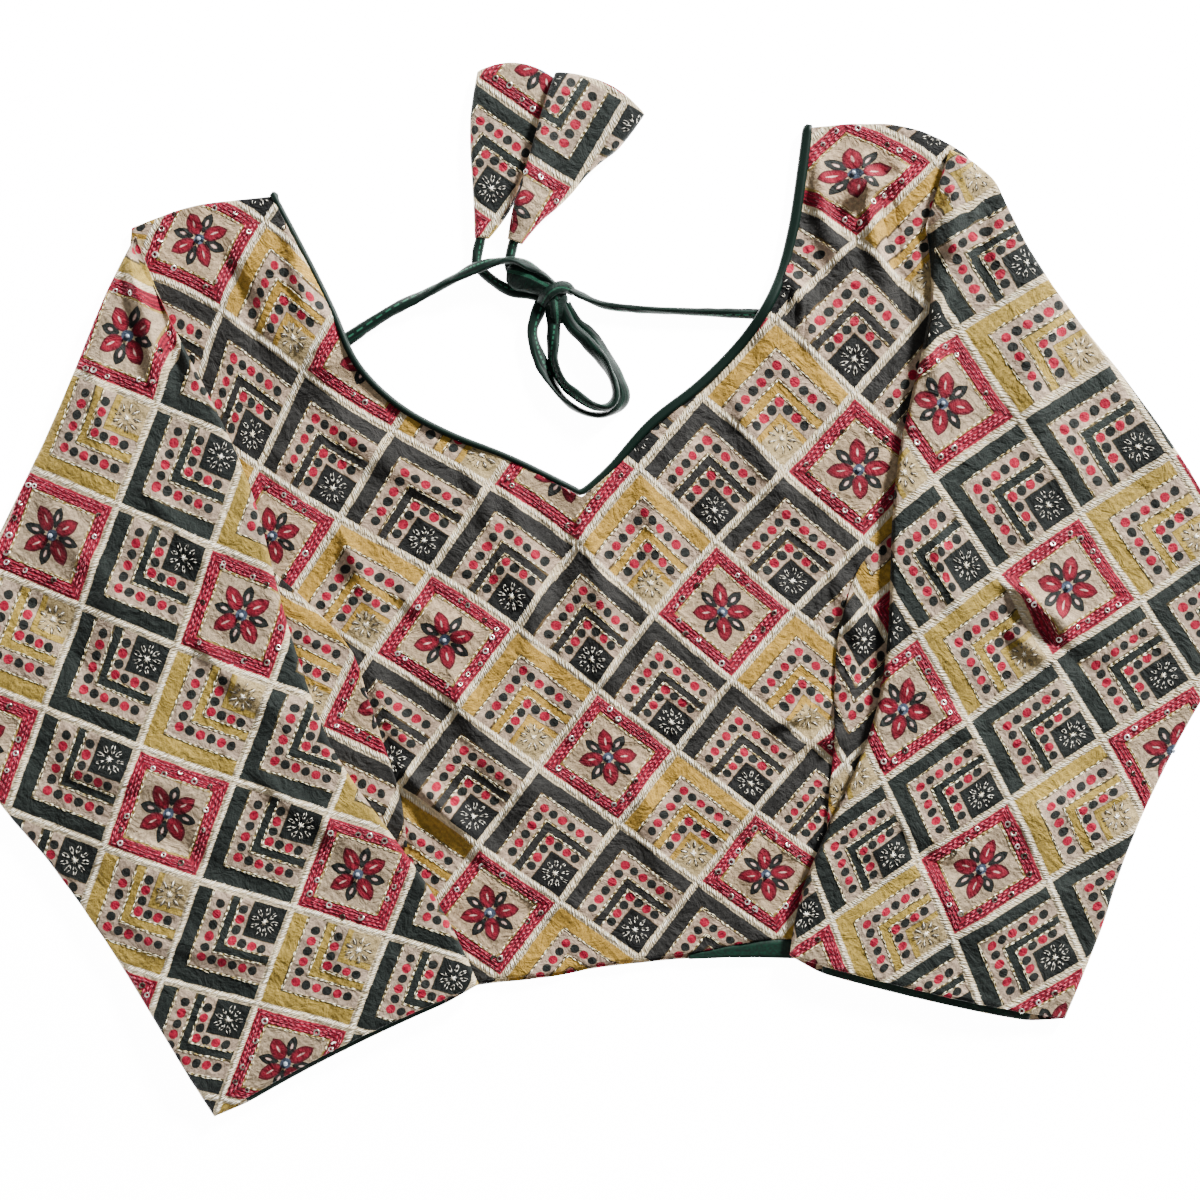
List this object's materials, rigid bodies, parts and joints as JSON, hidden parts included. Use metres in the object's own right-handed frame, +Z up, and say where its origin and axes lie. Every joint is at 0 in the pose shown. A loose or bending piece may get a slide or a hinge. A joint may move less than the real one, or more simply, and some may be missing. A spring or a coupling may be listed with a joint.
{
  "type": "choli blouse",
  "caption": "Short printed blouse laid flat, with a deep V neck, elbow sleeves folded in over the body and a corded neck tie ending in cloth tassels.",
  "frame": {"origin": "middle of the underside of the cloth, on the surface that the blouse lies on, the tie and its tassels left out", "axes": "+X across the blouse to the right as seen from above, +Y towards the shoulders, +Z up"},
  "size_m": [0.58, 0.473, 0.0101],
  "materials": {
    "printed_cotton": "cream cotton twill printed and embroidered with red, olive and slate squares",
    "green_lining": "plain dark green lining",
    "satin_cord": "dark green satin, rolled and stitched into cord"
  },
  "bodies": {
    "root": {"front_panel": "printed_cotton", "back_panel": "printed_cotton", "left_sleeve": "printed_cotton", "right_sleeve": "printed_cotton", "left_underarm_fold": "printed_cotton", "right_underarm_fold": "printed_cotton", "neck_piping": "satin_cord", "hem_lining": "green_lining", "left_cuff_lining": "green_lining", "right_cuff_lining": "green_lining", "left_string": "satin_cord", "right_string": "satin_cord", "outer_loop": "satin_cord", "inner_loop": "satin_cord", "left_tail": "satin_cord", "right_tail": "satin_cord", "dori_knot": "satin_cord", "left_tassel": "printed_cotton", "right_tassel": "printed_cotton"}
  },
  "joints": []
}
